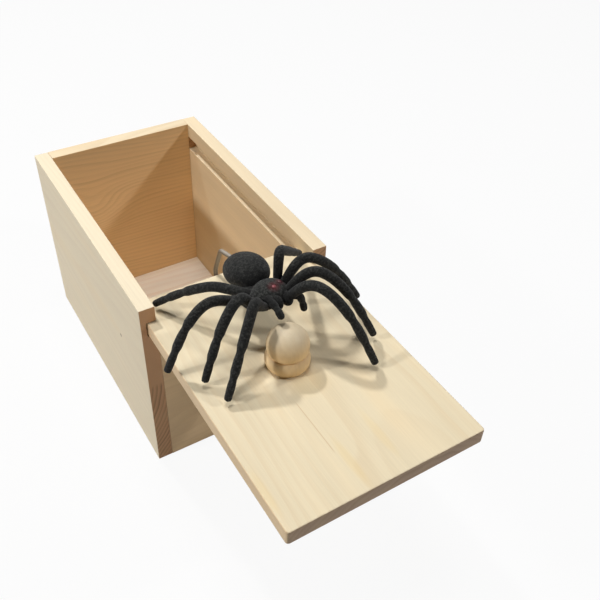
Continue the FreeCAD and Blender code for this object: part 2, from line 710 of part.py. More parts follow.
# Every object has to be sound before anything is written.
pieces = [
    left_side_board, right_side_board, rear_board, front_board, bottom_board,
    lid_panel, knob, knob_screw, pivot_clip, clip_screws, throw_spring,
    spider_arm, spider_abdomen, spider_head, spider_eyes, spider_jaws,
] + spider_legs + spider_palps
for item in doc.Objects:
    if "Invalid" in item.State or "Error" in item.State:
        raise RuntimeError(f"{item.Label} failed: {item.State}")
for piece in pieces:
    if piece.Shape.isNull() or not piece.Shape.isValid() or not piece.Shape.Solids:
        raise RuntimeError(f"{piece.Label} has no sound solid")

os.makedirs("parts", exist_ok=True)
for piece in pieces:
    piece.Shape.exportStep(f"parts/{piece.Label}.step")
    print(f"{piece.Label}: {len(piece.Shape.Solids)} solid, {piece.Shape.Volume:.1f} mm3")
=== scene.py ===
import json
import math

import bmesh
import bpy
from mathutils import Matrix, Vector


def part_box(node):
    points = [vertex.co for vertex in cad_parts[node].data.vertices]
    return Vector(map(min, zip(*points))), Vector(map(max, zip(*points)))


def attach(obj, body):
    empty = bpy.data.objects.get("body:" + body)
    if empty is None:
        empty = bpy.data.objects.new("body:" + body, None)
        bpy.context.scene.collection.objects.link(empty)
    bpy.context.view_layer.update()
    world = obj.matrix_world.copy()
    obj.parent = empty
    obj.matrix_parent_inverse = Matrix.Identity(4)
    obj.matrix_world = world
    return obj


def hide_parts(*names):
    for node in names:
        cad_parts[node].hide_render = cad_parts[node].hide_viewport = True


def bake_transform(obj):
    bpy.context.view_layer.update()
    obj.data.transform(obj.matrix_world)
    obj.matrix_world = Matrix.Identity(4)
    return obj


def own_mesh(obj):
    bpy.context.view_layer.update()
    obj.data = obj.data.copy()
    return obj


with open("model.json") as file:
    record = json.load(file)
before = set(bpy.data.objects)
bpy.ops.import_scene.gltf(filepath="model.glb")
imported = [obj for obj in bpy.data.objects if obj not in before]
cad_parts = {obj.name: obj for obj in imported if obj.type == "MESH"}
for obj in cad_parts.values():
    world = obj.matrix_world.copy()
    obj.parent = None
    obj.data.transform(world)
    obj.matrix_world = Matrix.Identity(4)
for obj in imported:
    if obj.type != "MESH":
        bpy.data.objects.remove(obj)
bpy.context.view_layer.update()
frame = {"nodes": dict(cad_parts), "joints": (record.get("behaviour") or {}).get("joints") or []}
mm = 0.001
aside = Vector((1, 0, 0))
back = Vector((0, 1, 0))
up = Vector((0, 0, 1))
lowCorner = {node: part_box(node)[0] for node in frame["nodes"]}
highCorner = {node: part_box(node)[1] for node in frame["nodes"]}
print("frame loaded")


class Socket:  # one socket of a material's node tree, joined up by plain expressions
    def __init__(self, tree, socket=None):
        self.tree = tree
        self.socket = socket

    def node(self, kind, settings=None, sockets=None, output=0):
        made = self.tree.nodes.new(kind)
        for name, value in (settings or {}).items():
            setattr(made, name, value)
        for key, value in (sockets or {}).items():
            if isinstance(value, Socket):
                self.tree.links.new(value.socket, made.inputs[key])
            else:
                made.inputs[key].default_value = value
        return Socket(self.tree, made.outputs[output])

    def maths(self, operation, first, second=0.0):
        return self.node("ShaderNodeMath", {"operation": operation}, {0: first, 1: second})

    def __add__(self, other):
        return self.maths("ADD", self, other)

    def __radd__(self, other):
        return self.maths("ADD", other, self)

    def __sub__(self, other):
        return self.maths("SUBTRACT", self, other)

    def __rsub__(self, other):
        return self.maths("SUBTRACT", other, self)

    def __mul__(self, other):
        return self.maths("MULTIPLY", self, other)

    def __rmul__(self, other):
        return self.maths("MULTIPLY", other, self)

    def __truediv__(self, other):
        return self.maths("DIVIDE", self, other)

    def __rtruediv__(self, other):
        return self.maths("DIVIDE", other, self)

    def __pow__(self, other):
        return self.maths("POWER", self, other)

    def __rpow__(self, other):
        return self.maths("POWER", other, self)

    def __abs__(self):
        return self.maths("ABSOLUTE", self)


# Shader steps that several finishes use.
colourMix = {"share": 0, "before": 6, "after": 7, "result": 2}  # sockets of a Mix node that takes colours


def ease(value, low, high):  # 0 below low, 1 above high
    return value.node(
        "ShaderNodeMapRange",
        {"interpolation_type": "SMOOTHSTEP"},
        {"Value": value, "From Min": low, "From Max": high},
    )


def band(value, comes, goes):  # rises over the first stretch and falls over the second
    return ease(value, *comes) * (1 - ease(value, *goes))


def tint(share, before, after):  # colours mixed by a share
    return share.node(
        "ShaderNodeMix",
        {"data_type": "RGBA"},
        {colourMix["share"]: share, colourMix["before"]: before, colourMix["after"]: after},
        colourMix["result"],
    )


def shade(share, colour):  # a colour made lighter or darker by a share
    return share.node(
        "ShaderNodeVectorMath", {"operation": "SCALE"}, {0: colour, "Scale": share}
    )


def speckle(at, scale=1.0, detail=2.0, rough=0.5):  # noise about zero
    noise = at.node(
        "ShaderNodeTexNoise",
        {"noise_dimensions": "3D"},
        {"Vector": at, "Scale": scale, "Detail": detail, "Roughness": rough},
    )
    return noise - 0.5


def hairs(at):  # finer noise, for fibres and scratches
    return speckle(at, detail=3.0, rough=0.6)


def stretched(at, scale=(1, 1, 1)):  # Object coordinates in millimetres, times a scale for each axis
    return at.node("ShaderNodeMapping", None, {"Vector": at, "Scale": [share / mm for share in scale]})


def apart(at, axis):  # one axis of a vector
    return at.node("ShaderNodeSeparateXYZ", None, {0: at}, axis)


def distance(at, place):
    return at.node("ShaderNodeVectorMath", {"operation": "DISTANCE"}, {0: at, 1: place}, "Value")


def newFinish(name):
    finish = bpy.data.materials.new(name)
    finish.use_nodes = True
    tree = finish.node_tree
    coat = tree.nodes["Principled BSDF"]
    return finish, Socket(tree), coat


def plug(value, coat, name):
    value.tree.links.new(value.socket, coat.inputs[name])


def roughen(height, coat, strength, deep):
    bump = height.node("ShaderNodeBump", None, {"Strength": strength, "Distance": deep, "Height": height})
    plug(bump, coat, "Normal")


# Pine: growth rings round a pith that lies outside the board, so that faces show long figure
# and ends show the rings themselves. Lengths are in millimetres, colours are linear.
pine = {
    # how often a pattern repeats in each millimetre, along the grain and across it
    "strayScale": (0.009, 0.035),
    "fibreScale": (0.05, 2.2),
    "toneScale": (0.012, 0.09),
    "strayFiner": 1.7,  # the second stray repeats this much more often
    "lateComes": (0.2, 0.86),  # where late wood begins and ends within one ring
    "lateGoes": (0.88, 1.0),
    "faintestRing": 0.4,
    "endTurn": (0.6, 0.8),  # how squarely a face crosses the grain to count as an end
    # how squarely a face must point the given way to get its painted shade
    "paintedShadeTurn": (0.3, 0.7),
    "ringsFade": (-2.0, 1.0),
    "streakTone": (0.02, 0.3),
    "fibreLight": 0.16,  # share of light and dark in the fibres
    "roughness": 0.62,
    "fibreRough": 0.25,
    "lateSmooth": 0.08,
    "specular": 0.28,
    "bump": 0.12,
    "bumpDeep": 0.4 * mm,
    "fibreBump": 0.6,
    "lateBump": 0.3,
    "knot": {"colour": (0.16, 0.085, 0.035, 1), "share": 0.75, "edge": (0.4, 1.3)},
    "stain": {"colour": (0.84, 0.62, 0.27, 1), "stray": 0.6, "fibre": 0.4, "edge": (0.3, 1.0)},
    "check": {"share": 0.5, "stray": 0.4, "edge": (0.06, 0.26), "fade": 3.0},
    "look": {
        "grain": "y",
        "seed": 0.0,
        "pith": (20.0, 60.0),
        "taper": 0.03,
        "wobble": 9.0,  # how far a ring strays
        "ringGap": 1.9,
        "figure": 0.25,  # how much of the late wood's colour shows on faces
        "endFigure": 0.7,  # and on ends
        "ringsBelow": 1000.0,  # ends show rings up to this height only
        "endDark": 0.66,
        "streak": 0.2,
        "tone": 0.24,  # share of light and dark over the whole board
        "pale": (0.82, 0.68, 0.47, 1),
        "late": (0.56, 0.36, 0.17, 1),
        "warm": (0.80, 0.60, 0.34, 1),
        "endTint": (0.89, 0.51, 0.27, 1),
        "endLate": (0.48, 0.27, 0.13, 1),
        "aged": (),  # axis, direction and colour of each face painted warmer and darker than the rest, standing in for shade and warm bounce light
        "swirls": (),
        "knots": (),
        "stains": (),
        "checks": (),
    },
}


def pineFinish(name, changes):
    look = pine["look"] | changes
    finish, start, coat = newFinish(name)
    spot = start.node("ShaderNodeTexCoord", output="Object")
    normal = start.node("ShaderNodeTexCoord", output="Normal")
    sized = stretched(spot)
    axes = [apart(sized, axis) for axis in range(3)]
    height = axes[2]
    grain = "xyz".index(look["grain"])
    endOn = ease(abs(apart(normal, grain)), *pine["endTurn"])
    along = axes.pop(grain)
    across, through = axes

    def inGrain(scale):  # coordinates drawn out along the grain
        length, width = scale
        return start.node(
            "ShaderNodeCombineXYZ",
            None,
            {0: along * length + look["seed"], 1: across * width, 2: through * width},
        )

    slow = inGrain(pine["strayScale"])
    stray = speckle(slow)
    strayThrough = speckle(slow, pine["strayFiner"], detail=1.0)
    pithAcross, pithThrough = look["pith"]
    ringAcross = across - pithAcross + stray * look["wobble"]
    ringThrough = through - pithThrough + strayThrough * look["wobble"]
    reach = (ringAcross * ringAcross + ringThrough * ringThrough) ** 0.5 + along * look["taper"]
    for (alongMiddle, throughMiddle), (wide, high), push in look["swirls"]:  # round a hidden knot
        sideways = (along - alongMiddle) / wide
        upward = (through - throughMiddle) / high
        reach = reach + push * math.e ** ((sideways * sideways + upward * upward) * -1)
    count = reach / look["ringGap"]
    late = band(start.maths("FRACT", count), pine["lateComes"], pine["lateGoes"])
    ringKind = start.node(
        "ShaderNodeTexWhiteNoise", {"noise_dimensions": "1D"}, {"W": start.maths("FLOOR", count)}
    )
    late = late * (pine["faintestRing"] + (1 - pine["faintestRing"]) * ringKind)

    fibre = hairs(inGrain(pine["fibreScale"]))
    tone = speckle(inGrain(pine["toneScale"]), detail=1.0)

    ringsEnd = [look["ringsBelow"] + edge for edge in pine["ringsFade"]]
    ringed = look["endFigure"] * (1 - ease(height, *ringsEnd))
    figure = late * (look["figure"] + endOn * (ringed - look["figure"]))
    pale = tint(endOn, look["pale"], look["endTint"])
    # painted shade: faces that point one way get a warmer, darker colour for the shade and warm bounce light
    # that falls on them
    for axis, direction, shadeColour in look["aged"]:
        pale = tint(ease(apart(normal, axis) * direction, *pine["paintedShadeTurn"]), pale, shadeColour)
    colour = tint(figure, pale, tint(endOn, look["late"], look["endLate"]))
    colour = tint(ease(tone, *pine["streakTone"]) * look["streak"], colour, look["warm"])
    stain, knot, check = pine["stain"], pine["knot"], pine["check"]
    for place, size, share in look["stains"]:  # resin drawn out along the grain
        centred = start.node("ShaderNodeVectorMath", {"operation": "SUBTRACT"}, {0: sized, 1: place})
        drawn = start.node("ShaderNodeVectorMath", {"operation": "DIVIDE"}, {0: centred, 1: size})
        away = distance(drawn, (0, 0, 0)) + stray * stain["stray"] + fibre * stain["fibre"]
        colour = tint((1 - ease(away, *stain["edge"])) * share, colour, stain["colour"])
    for place, size in look["knots"]:
        away = distance(sized, place) + fibre * size
        inner, outer = (size * edge for edge in knot["edge"])
        colour = tint((1 - ease(away, inner, outer)) * knot["share"], colour, knot["colour"])
    for side, low, high in look["checks"]:  # a hairline that opens along the grain
        line = 1 - ease(abs(across - side + stray * check["stray"]), *check["edge"])
        inside = band(along, (low, low + check["fade"]), (high - check["fade"], high))
        colour = tint(line * inside * check["share"], colour, look["late"])
    light = 1 + fibre * pine["fibreLight"] + tone * look["tone"]
    light = light * (1 - endOn * (1 - look["endDark"]))
    plug(shade(light, colour), coat, "Base Color")
    plug(pine["roughness"] + fibre * pine["fibreRough"] - late * pine["lateSmooth"], coat, "Roughness")
    roughen(fibre * pine["fibreBump"] + late * pine["lateBump"], coat, pine["bump"], pine["bumpDeep"])
    coat.inputs["Specular IOR Level"].default_value = pine["specular"]
    return finish


# Turned wood of the knob: straight close grain and faint turning marks, paler and darker above, and painted
# warmer and brighter below, standing in for warm light bounced up from the lid.
turned = {
    "pale": (0.66, 0.55, 0.38, 1),
    "warm": (0.92, 0.67, 0.375, 1),
    "late": (0.62, 0.44, 0.25, 1),
    "warmTo": 8.5,  # height above the foot, in millimetres
    "paleFrom": 16.5,
    # how often a pattern repeats in each millimetre
    "fibreScale": (1.5, 1.5, 0.12),
    "cloudScale": 0.12,
    "ringScale": 0.55,
    "turningScale": 14.0,  # in radians
    "ringStray": 6.0,
    "turningStray": 2.0,
    "lateComes": (0.3, 0.85),
    "lateGoes": (0.88, 1.0),
    "lateShare": 0.1,
    "fibreLight": 0.1,
    "cloudLight": 0.16,
    "roughness": 0.5,
    "fibreRough": 0.2,
    "specular": 0.32,
    "bump": 0.08,
    "bumpDeep": 0.3 * mm,
    "turningBump": 0.4,
}


def turnedFinish(name):
    finish, start, coat = newFinish(name)
    spot = start.node("ShaderNodeTexCoord", output="Object")
    sized = stretched(spot)
    fibre = hairs(stretched(spot, turned["fibreScale"]))
    cloud = speckle(sized, turned["cloudScale"])
    ring = start.maths("FRACT", (apart(sized, 0) + cloud * turned["ringStray"]) * turned["ringScale"])
    late = band(ring, turned["lateComes"], turned["lateGoes"])
    turning = start.maths("SINE", apart(sized, 2) * turned["turningScale"] + fibre * turned["turningStray"])
    # painted light: the lower part is warmer and brighter, for the warm light bounced up from the lid
    above = ease(apart(sized, 2) - lowCorner["knob"].z / mm, turned["warmTo"], turned["paleFrom"])
    plain = tint(above, turned["warm"], turned["pale"])
    colour = tint(late * turned["lateShare"], plain, turned["late"])
    light = 1 + fibre * turned["fibreLight"] + cloud * turned["cloudLight"]
    plug(shade(light, colour), coat, "Base Color")
    plug(turned["roughness"] + fibre * turned["fibreRough"], coat, "Roughness")
    roughen(turning * turned["turningBump"] + fibre, coat, turned["bump"], turned["bumpDeep"])
    coat.inputs["Specular IOR Level"].default_value = turned["specular"]
    return finish


# Steel: drawn wire, and rolled sheet for the clip and screws.
steel = {
    # colour and roughness of each kind
    # the wire is darker than the spring, with a brown tint that is painted reflection of the wood round it
    "wire": ((0.27, 0.24, 0.20), 0.48),
    "spring": ((0.5, 0.49, 0.47), 0.3),
    "sheet": ((0.5, 0.49, 0.47), 0.35),
    # how often a pattern repeats in each millimetre
    "scratchScale": (0.7, 3.0, 0.9),
    "stainScale": 0.26,
    "scratchLight": 0.2,
    "stainLight": 0.5,
    "scratchRough": 0.15,
    "stainRough": 0.2,
    "bump": 0.1,
    "bumpDeep": 0.1 * mm,
}


def steelFinish(kind):
    colour, roughness = steel[kind]
    finish, start, coat = newFinish(kind + "Steel")
    spot = start.node("ShaderNodeTexCoord", output="Object")
    scratch = hairs(stretched(spot, steel["scratchScale"]))
    stain = speckle(stretched(spot), steel["stainScale"])
    light = 1 + stain * steel["stainLight"] + scratch * steel["scratchLight"]
    plug(shade(light, colour), coat, "Base Color")
    plug(roughness + scratch * steel["scratchRough"] + stain * steel["stainRough"], coat, "Roughness")
    roughen(scratch, coat, steel["bump"], steel["bumpDeep"])
    coat.inputs["Metallic"].default_value = 1.0
    return finish


# Flocked rubber: almost black, with a short pile that is greyer in patches, and painted shade that darkens
# it round a root, where the parts meet.
flocked = {
    "black": (0.0055, 0.0057, 0.0053, 1),
    "grey": (0.043, 0.044, 0.040, 1),
    # red of the painted glow round an eye
    "glow": (0.13, 0.012, 0.018, 1),
    # how often a pattern repeats in each millimetre
    "pileScale": 3.4,
    "lumpScale": 1.1,
    "greyFrom": (-0.1, 0.3),
    "atRoot": 0.36,  # share of the colour left in the painted shade round a root
    "glowFrom": 0.2,  # share of the red's reach where it begins to fade
    "glowStray": 0.8,
    "roughness": 0.86,
    "pileRough": 0.2,
    "specular": 0.13,
    "sheen": 0.09,
    "sheenRoughness": 0.6,
    "bump": 0.85,
    "bumpDeep": 0.3 * mm,
    # scale of each axis, reach of the painted shade round a root in millimetres, and lift of the light
    "body": ((1, 1, 1), (7.0, 13.0), 1.0),
    "head": ((0, 0, 1), (5.0, 8.0), 1.3),  # measured upwards only, so the chest under the shield is in painted shade and the shield is greyest
}


def flockFinish(name, kind, root, glows=()):
    scale, reach, lift = flocked[kind]
    finish, start, coat = newFinish(name)
    spot = start.node("ShaderNodeTexCoord", output="Object")
    sized = stretched(spot)
    pile = speckle(sized, flocked["pileScale"], detail=3.0, rough=0.65)
    lump = speckle(sized, flocked["lumpScale"])
    # painted shade: darker round a root, where the pieces meet and shade falls
    clear = ease(distance(stretched(spot, scale), root), *reach)
    light = lift * (flocked["atRoot"] + (1 - flocked["atRoot"]) * clear)
    grey = ease(pile + lump, *flocked["greyFrom"])
    colour = shade(light, tint(grey, flocked["black"], flocked["grey"]))
    for place, size, share in glows:  # painted glow: red round an eye, fading out through the pile
        away = distance(sized, place) + pile * (size * flocked["glowStray"])
        near = 1 - ease(away, size * flocked["glowFrom"], size)
        colour = tint(near * share, colour, flocked["glow"])
    plug(colour, coat, "Base Color")
    plug(flocked["roughness"] + pile * flocked["pileRough"], coat, "Roughness")
    roughen(pile + lump, coat, flocked["bump"], flocked["bumpDeep"])
    coat.inputs["Specular IOR Level"].default_value = flocked["specular"]
    coat.inputs["Sheen Weight"].default_value = flocked["sheen"]
    coat.inputs["Sheen Roughness"].default_value = flocked["sheenRoughness"]
    return finish


# Mesh steps that several pieces use.
def joined(name):  # left_side_board becomes leftSideBoard
    first, *rest = name.split("_")
    return first + "".join(word.capitalize() for word in rest)


def newPiece(name, shape, finish, body, node):
    mesh = bpy.data.meshes.new(name)
    shape.to_mesh(mesh)
    shape.free()
    piece = bpy.data.objects.new(name, mesh)
    bpy.context.collection.objects.link(piece)
    mesh.materials.append(finish)
    for face in mesh.polygons:
        face.use_smooth = True
    if body:  # a piece with a body rides on it; a blended piece has none here and is left unattached
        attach(piece, body)
    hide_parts(node)
    return piece


def easeEdges(shape, edges, width, segments):
    bmesh.ops.bevel(
        shape,
        geom=edges,
        offset=width,
        segments=segments,
        affect="EDGES",
        profile=0.5,
        material=-1,
        clamp_overlap=True,
    )


def sharpen(piece, angle):  # flat faces stay flat beside their rounded edges
    piece.data.set_sharp_from_angle(angle=angle)
    keep = piece.modifiers.new("flatFaces", "WEIGHTED_NORMAL")
    keep.keep_sharp = True


def blockBetween(low, high):
    shape = bmesh.new()
    bmesh.ops.create_cube(shape, size=1)
    bmesh.ops.scale(shape, vec=high - low, verts=shape.verts)
    bmesh.ops.translate(shape, vec=(high + low) / 2, verts=shape.verts)
    return shape


# Box boards. A pith is given across the grain: (x, z) where the grain runs along y, (y, z) along x.
boards = {
    "sideEdge": 0.3 * mm,
    "endEdge": 0.12 * mm,  # where a board ends flush between the sides
    "edgeSegments": 3,
    "sharpFrom": math.radians(40),
    "lidPlay": 0.25 * mm,
    "lidSidePlay": 0.4 * mm,
    "grooveRunout": 0.6 * mm,  # past the rear board's inner face
    "flatWithin": math.radians(1),
    "weld": 0.01 * mm,
    "looks": {
        "left_side_board": {
            "seed": 3.0,
            "pith": (-100.0, 52.0),
            "wobble": 4.0,
            "ringGap": 1.7,
            "figure": 0.12,
            "endFigure": 0.95,
            "ringsBelow": 45.0,
            "tone": 0.1,
            "pale": (0.86, 0.745, 0.545, 1),
            "late": (0.56, 0.38, 0.21, 1),
            "knots": [((-39.5, -33.0, 50.6), 0.9)],
        },
        "right_side_board": {
            "seed": 11.0,
            "pith": (92.0, -30.0),
            "ringGap": 2.1,
            "figure": 0.09,
            # the inner face is painted warmer and darker, as shade inside the box
            "aged": [(0, -1, (0.75, 0.59, 0.375, 1))],
            "knots": [((35.1, 53.9, 73.6), 0.55)],
        },
        "rear_board": {
            "grain": "x",
            "seed": 7.0,
            "pith": (80.0, -60.0),
            "taper": 0.05,
            "ringGap": 2.1,
            "figure": 0.3,
            "swirls": [((-20.0, 50.0), (16.0, 13.0), 12.0)],
            "tone": 0.12,
            # the inner face is painted warmer and a little darker, as shade and warm bounce light inside the
            # box
            "aged": [(1, -1, (0.92, 0.635, 0.345, 1))],
        },
        "front_board": {
            "grain": "x",
            "seed": 23.0,
            "pith": (-90.0, 30.0),
            "taper": 0.05,
            "figure": 0.2,
            # darker and warmer than the other boards: partly the board's own wood, partly painted shade for
            # the lid's shadow over it
            "pale": (0.80, 0.585, 0.35, 1),
        },
        "bottom_board": {
            "grain": "x",
            "seed": 31.0,
            "pith": (10.0, -34.0),
            "taper": 0.08,
            "ringGap": 2.4,
            "figure": 0.3,
            "pale": (0.97, 0.89, 0.78, 1),
            "late": (0.72, 0.50, 0.36, 1),
        },
    },
}


def sideBoard(node):  # a plank with a groove for the lid, open in front and stopped behind
    low, high = lowCorner[node], highCorner[node]
    inner = high.x if low.x < 0 else low.x
    grooveDeep = math.copysign(highCorner["lid_panel"].x + boards["lidSidePlay"], inner)
    grooveEnd = lowCorner["rear_board"].y + boards["grooveRunout"]
    grooveFloor = highCorner["front_board"].z
    grooveTop = highCorner["lid_panel"].z + boards["lidPlay"]
    shape = blockBetween(low, high)
    for across, place in ((aside, grooveDeep), (back, grooveEnd), (up, grooveFloor), (up, grooveTop)):
        parts = shape.verts[:] + shape.edges[:] + shape.faces[:]
        bmesh.ops.bisect_plane(shape, geom=parts, plane_co=across * place, plane_no=across)

    def atMouth(face):  # the groove's opening in the front end
        at = face.calc_center_median()
        onEnd = abs(at.y - low.y) < boards["weld"]
        return onEnd and abs(at.x) < abs(grooveDeep) and grooveFloor < at.z < grooveTop

    def atSide(face):  # and in the inner side
        at = face.calc_center_median()
        onSide = abs(at.x - inner) < boards["weld"]
        return onSide and at.y < grooveEnd and grooveFloor < at.z < grooveTop

    mouth = next(face for face in shape.faces if atMouth(face))
    stop = bmesh.ops.extrude_discrete_faces(shape, faces=[mouth])["faces"][0]
    bmesh.ops.translate(shape, vec=back * (grooveEnd - low.y), verts=stop.verts)
    bmesh.ops.delete(shape, geom=[face for face in shape.faces if atSide(face)], context="FACES")
    bmesh.ops.remove_doubles(shape, verts=shape.verts[:], dist=boards["weld"])
    bmesh.ops.dissolve_limit(
        shape, angle_limit=boards["flatWithin"], verts=shape.verts[:], edges=shape.edges[:]
    )
    bmesh.ops.recalc_face_normals(shape, faces=shape.faces[:])
    return shape


for node, look in boards["looks"].items():
    if "side" in node:
        shape, edge = sideBoard(node), boards["sideEdge"]
    else:
        shape, edge = blockBetween(lowCorner[node], highCorner[node]), boards["endEdge"]
    easeEdges(shape, shape.edges[:], edge, boards["edgeSegments"])
    finish = pineFinish(joined(node) + "Pine", look)
    piece = newPiece(joined(node), shape, finish, "box", node)
    sharpen(piece, boards["sharpFrom"])
print("box boards made")


# Lid panel.
lid = {
    "corner": 1.2 * mm,
    "cornerSegments": 5,
    "edge": 0.5 * mm,
    "edgeSegments": 3,
    "rimFrom": 0.7,  # edges that turn further than this are rounded, in radians
    "sharpFrom": math.radians(40),
    "look": {
        "seed": 17.0,
        "pith": (12.0, 30.0),
        "taper": 0.02,
        "ringGap": 2.4,
        "figure": 0.17,
        "endFigure": 0.4,
        "endDark": 0.6,
        "endTint": (0.78, 0.55, 0.37, 1),
        "streak": 0.3,
        "pale": (0.80, 0.685, 0.475, 1),
        # the long sides are painted warmer and darker than the top, as shade
        "aged": [(0, side, (0.80, 0.60, 0.375, 1)) for side in (-1, 1)],
        "stains": [
            ((-7.5, -146.0, 77.5), (2.4, 14.0, 6.0), 0.28),
            ((6.4, -142.0, 77.5), (2.0, 13.0, 6.0), 0.22),
            ((-2.0, -113.0, 77.5), (9.0, 7.0, 6.0), 0.2),
            ((-35.4, -143.0, 77.5), (1.8, 12.0, 6.0), 0.28),
        ],
        "checks": [(-9.8, -142.0, -117.0)],
    },
}
lidMiddle = (lowCorner["lid_panel"] + highCorner["lid_panel"]) / 2


def atOuterCorner(edge):  # an upright edge at the lid's outer end
    below, above = sorted(corner.co.z for corner in edge.verts)
    return below < lidMiddle.z < above and edge.verts[0].co.y < lidMiddle.y


shape = blockBetween(lowCorner["lid_panel"], highCorner["lid_panel"])
easeEdges(shape, [edge for edge in shape.edges if atOuterCorner(edge)], lid["corner"], lid["cornerSegments"])
rims = [edge for edge in shape.edges if edge.calc_face_angle() > lid["rimFrom"]]
easeEdges(shape, rims, lid["edge"], lid["edgeSegments"])
lidPanel = newPiece("lidPine", shape, pineFinish("lidPine", lid["look"]), "lid", "lid_panel")
sharpen(lidPanel, lid["sharpFrom"])
print("lid made")


# Knob: a ball over a rounded bead with a cut line between them, spun about its axis.
knob = {
    "footRadius": 7.0 * mm,
    "beadRadius": 7.95 * mm,
    "beadHigh": 5.7 * mm,
    "beadSteps": 16,
    "grooveRadius": 6.1 * mm,
    "grooveUp": 6.0 * mm,
    "ballFrom": 6.3 * mm,
    "ballRadius": 7.2 * mm,
    "ballUp": 9.1 * mm,
    "ballWide": 1.035,  # the ball is a little wider than it is high
    "ballSteps": 32,
    "turns": 72,
    "weld": 0.02 * mm,
    "sharpFrom": math.radians(40),
}
knobMiddle = (lowCorner["knob"] + highCorner["knob"]) / 2
knobFoot = Vector((knobMiddle.x, knobMiddle.y, lowCorner["knob"].z))


def arcOn(shape, corner, middle, turn, steps):
    # the last vertex of an arc that a corner draws about a middle, in the XZ plane
    drawn = bmesh.ops.spin(
        shape, geom=[corner], cent=middle, axis=-back, angle=turn, steps=steps, use_duplicate=False
    )
    return next(item for item in drawn["geom_last"] if isinstance(item, bmesh.types.BMVert))


def lineTo(shape, corner, x, z):
    after = shape.verts.new((x, 0, z))
    shape.edges.new((corner, after))
    return after


shape = bmesh.new()
foot = shape.verts.new((0, 0, 0))
footRim = lineTo(shape, foot, knob["footRadius"], 0)
beadHalf = knob["beadHigh"] / 2
beadOut = knob["beadRadius"] - knob["footRadius"]
beadArc = (beadHalf ** 2 + beadOut ** 2) / (2 * beadOut)
beadMiddle = Vector((knob["beadRadius"] - beadArc, 0, beadHalf))
beadTop = arcOn(shape, footRim, beadMiddle, 2 * math.asin(beadHalf / beadArc), knob["beadSteps"])
groove = lineTo(shape, beadTop, knob["grooveRadius"], knob["grooveUp"])
ballDrop = knob["ballUp"] - knob["ballFrom"]
ballFoot = lineTo(shape, groove, math.sqrt(knob["ballRadius"] ** 2 - ballDrop ** 2), knob["ballFrom"])
ballTurn = math.pi / 2 + math.asin(ballDrop / knob["ballRadius"])
arcOn(shape, ballFoot, Vector((0, 0, knob["ballUp"])), ballTurn, knob["ballSteps"])
aboveGroove = (knob["grooveUp"] + knob["ballFrom"]) / 2
ballCorners = [corner for corner in shape.verts if corner.co.z > aboveGroove]
bmesh.ops.scale(shape, vec=(knob["ballWide"], 1, 1), verts=ballCorners)
bmesh.ops.spin(
    shape,
    geom=shape.verts[:] + shape.edges[:],
    cent=(0, 0, 0),
    axis=up,
    angle=2 * math.pi,
    steps=knob["turns"],
    use_merge=True,
    use_duplicate=False,
)
bmesh.ops.remove_doubles(shape, verts=shape.verts[:], dist=knob["weld"])
bmesh.ops.recalc_face_normals(shape, faces=shape.faces[:])
bmesh.ops.translate(shape, vec=knobFoot, verts=shape.verts[:])
knobPiece = newPiece("knobTurned", shape, turnedFinish("knobTurned"), "lid", "knob")
knobPiece.data.set_sharp_from_angle(angle=knob["sharpFrom"])
print("knob made")


# Wire work is fed and bent, as on a bench: straight runs, and turns about a bend's middle.
def wireStart(shape, at, heading, radius, sides):
    drawn = bmesh.ops.create_circle(shape, cap_ends=True, radius=radius, segments=sides)
    turn = up.rotation_difference(heading).to_matrix().to_4x4()
    bmesh.ops.transform(shape, matrix=Matrix.Translation(at) @ turn, verts=drawn["verts"])
    return drawn["verts"][0].link_faces[0]


def feed(shape, face, vec):
    drawn = bmesh.ops.extrude_discrete_faces(shape, faces=[face])["faces"][0]
    bmesh.ops.translate(shape, vec=vec, verts=drawn.verts)
    return drawn


def turnAbout(shape, face, middle, axis, angle, steps, rise=Vector()):
    drawn = bmesh.ops.spin(
        shape,
        geom=[face],
        cent=middle,
        axis=axis,
        dvec=rise / steps,
        angle=angle,
        steps=steps,
        use_duplicate=False,
    )
    return next(item for item in drawn["geom_last"] if isinstance(item, bmesh.types.BMFace))


def bentWire(points, radii, thick, sides, steps):
    shape = bmesh.new()
    heading = (points[1] - points[0]).normalized()
    face = wireStart(shape, points[0], heading, thick, sides)
    at = points[0]
    for corner, after, bend in zip(points[1:], points[2:], radii):
        ahead = (after - corner).normalized()
        turn = heading.angle(ahead)
        setback = bend * math.tan(turn / 2)
        reach = corner - heading * setback
        face = feed(shape, face, reach - at)
        axis = heading.cross(ahead).normalized()
        middle = reach + axis.cross(heading) * bend
        face = turnAbout(shape, face, middle, axis, turn, steps)
        at = corner + ahead * setback
        heading = ahead
    feed(shape, face, points[-1] - at)
    bmesh.ops.recalc_face_normals(shape, faces=shape.faces[:])
    return shape


arm = {
    "thick": 0.85 * mm,
    "tailHigh": 4.6 * mm,
    "bend": 1.8 * mm,
    "kneeUp": 2.0 * mm,
    "kneeBend": 5.2 * mm,
    "lean": 5.2 * mm,  # towards the lid's outer end
    "high": 14.5 * mm,
    "topBend": 2.6 * mm,
    "aside": -2.4 * mm,
    "sweep": 1.4 * mm,  # sideways, forward and up from the top bend to the spider
    "reach": 14.8 * mm,
    "rise": 3.1 * mm,
    "sides": 20,
    "bendSteps": 10,
    "sharpFrom": math.radians(50),
}
flip = next(joint for joint in frame["joints"] if joint["name"] == "spider_flip")
pivot = Vector(flip["pos_m"])
lidTop = highCorner["lid_panel"].z
tailX = highCorner["spider_arm"].x - arm["thick"]
spiderX = arm["aside"] + arm["sweep"]
armTop = Vector((arm["aside"], pivot.y - arm["lean"], lidTop + arm["high"]))
bodyZ = armTop.z + arm["rise"]
armEndY = armTop.y - arm["reach"]
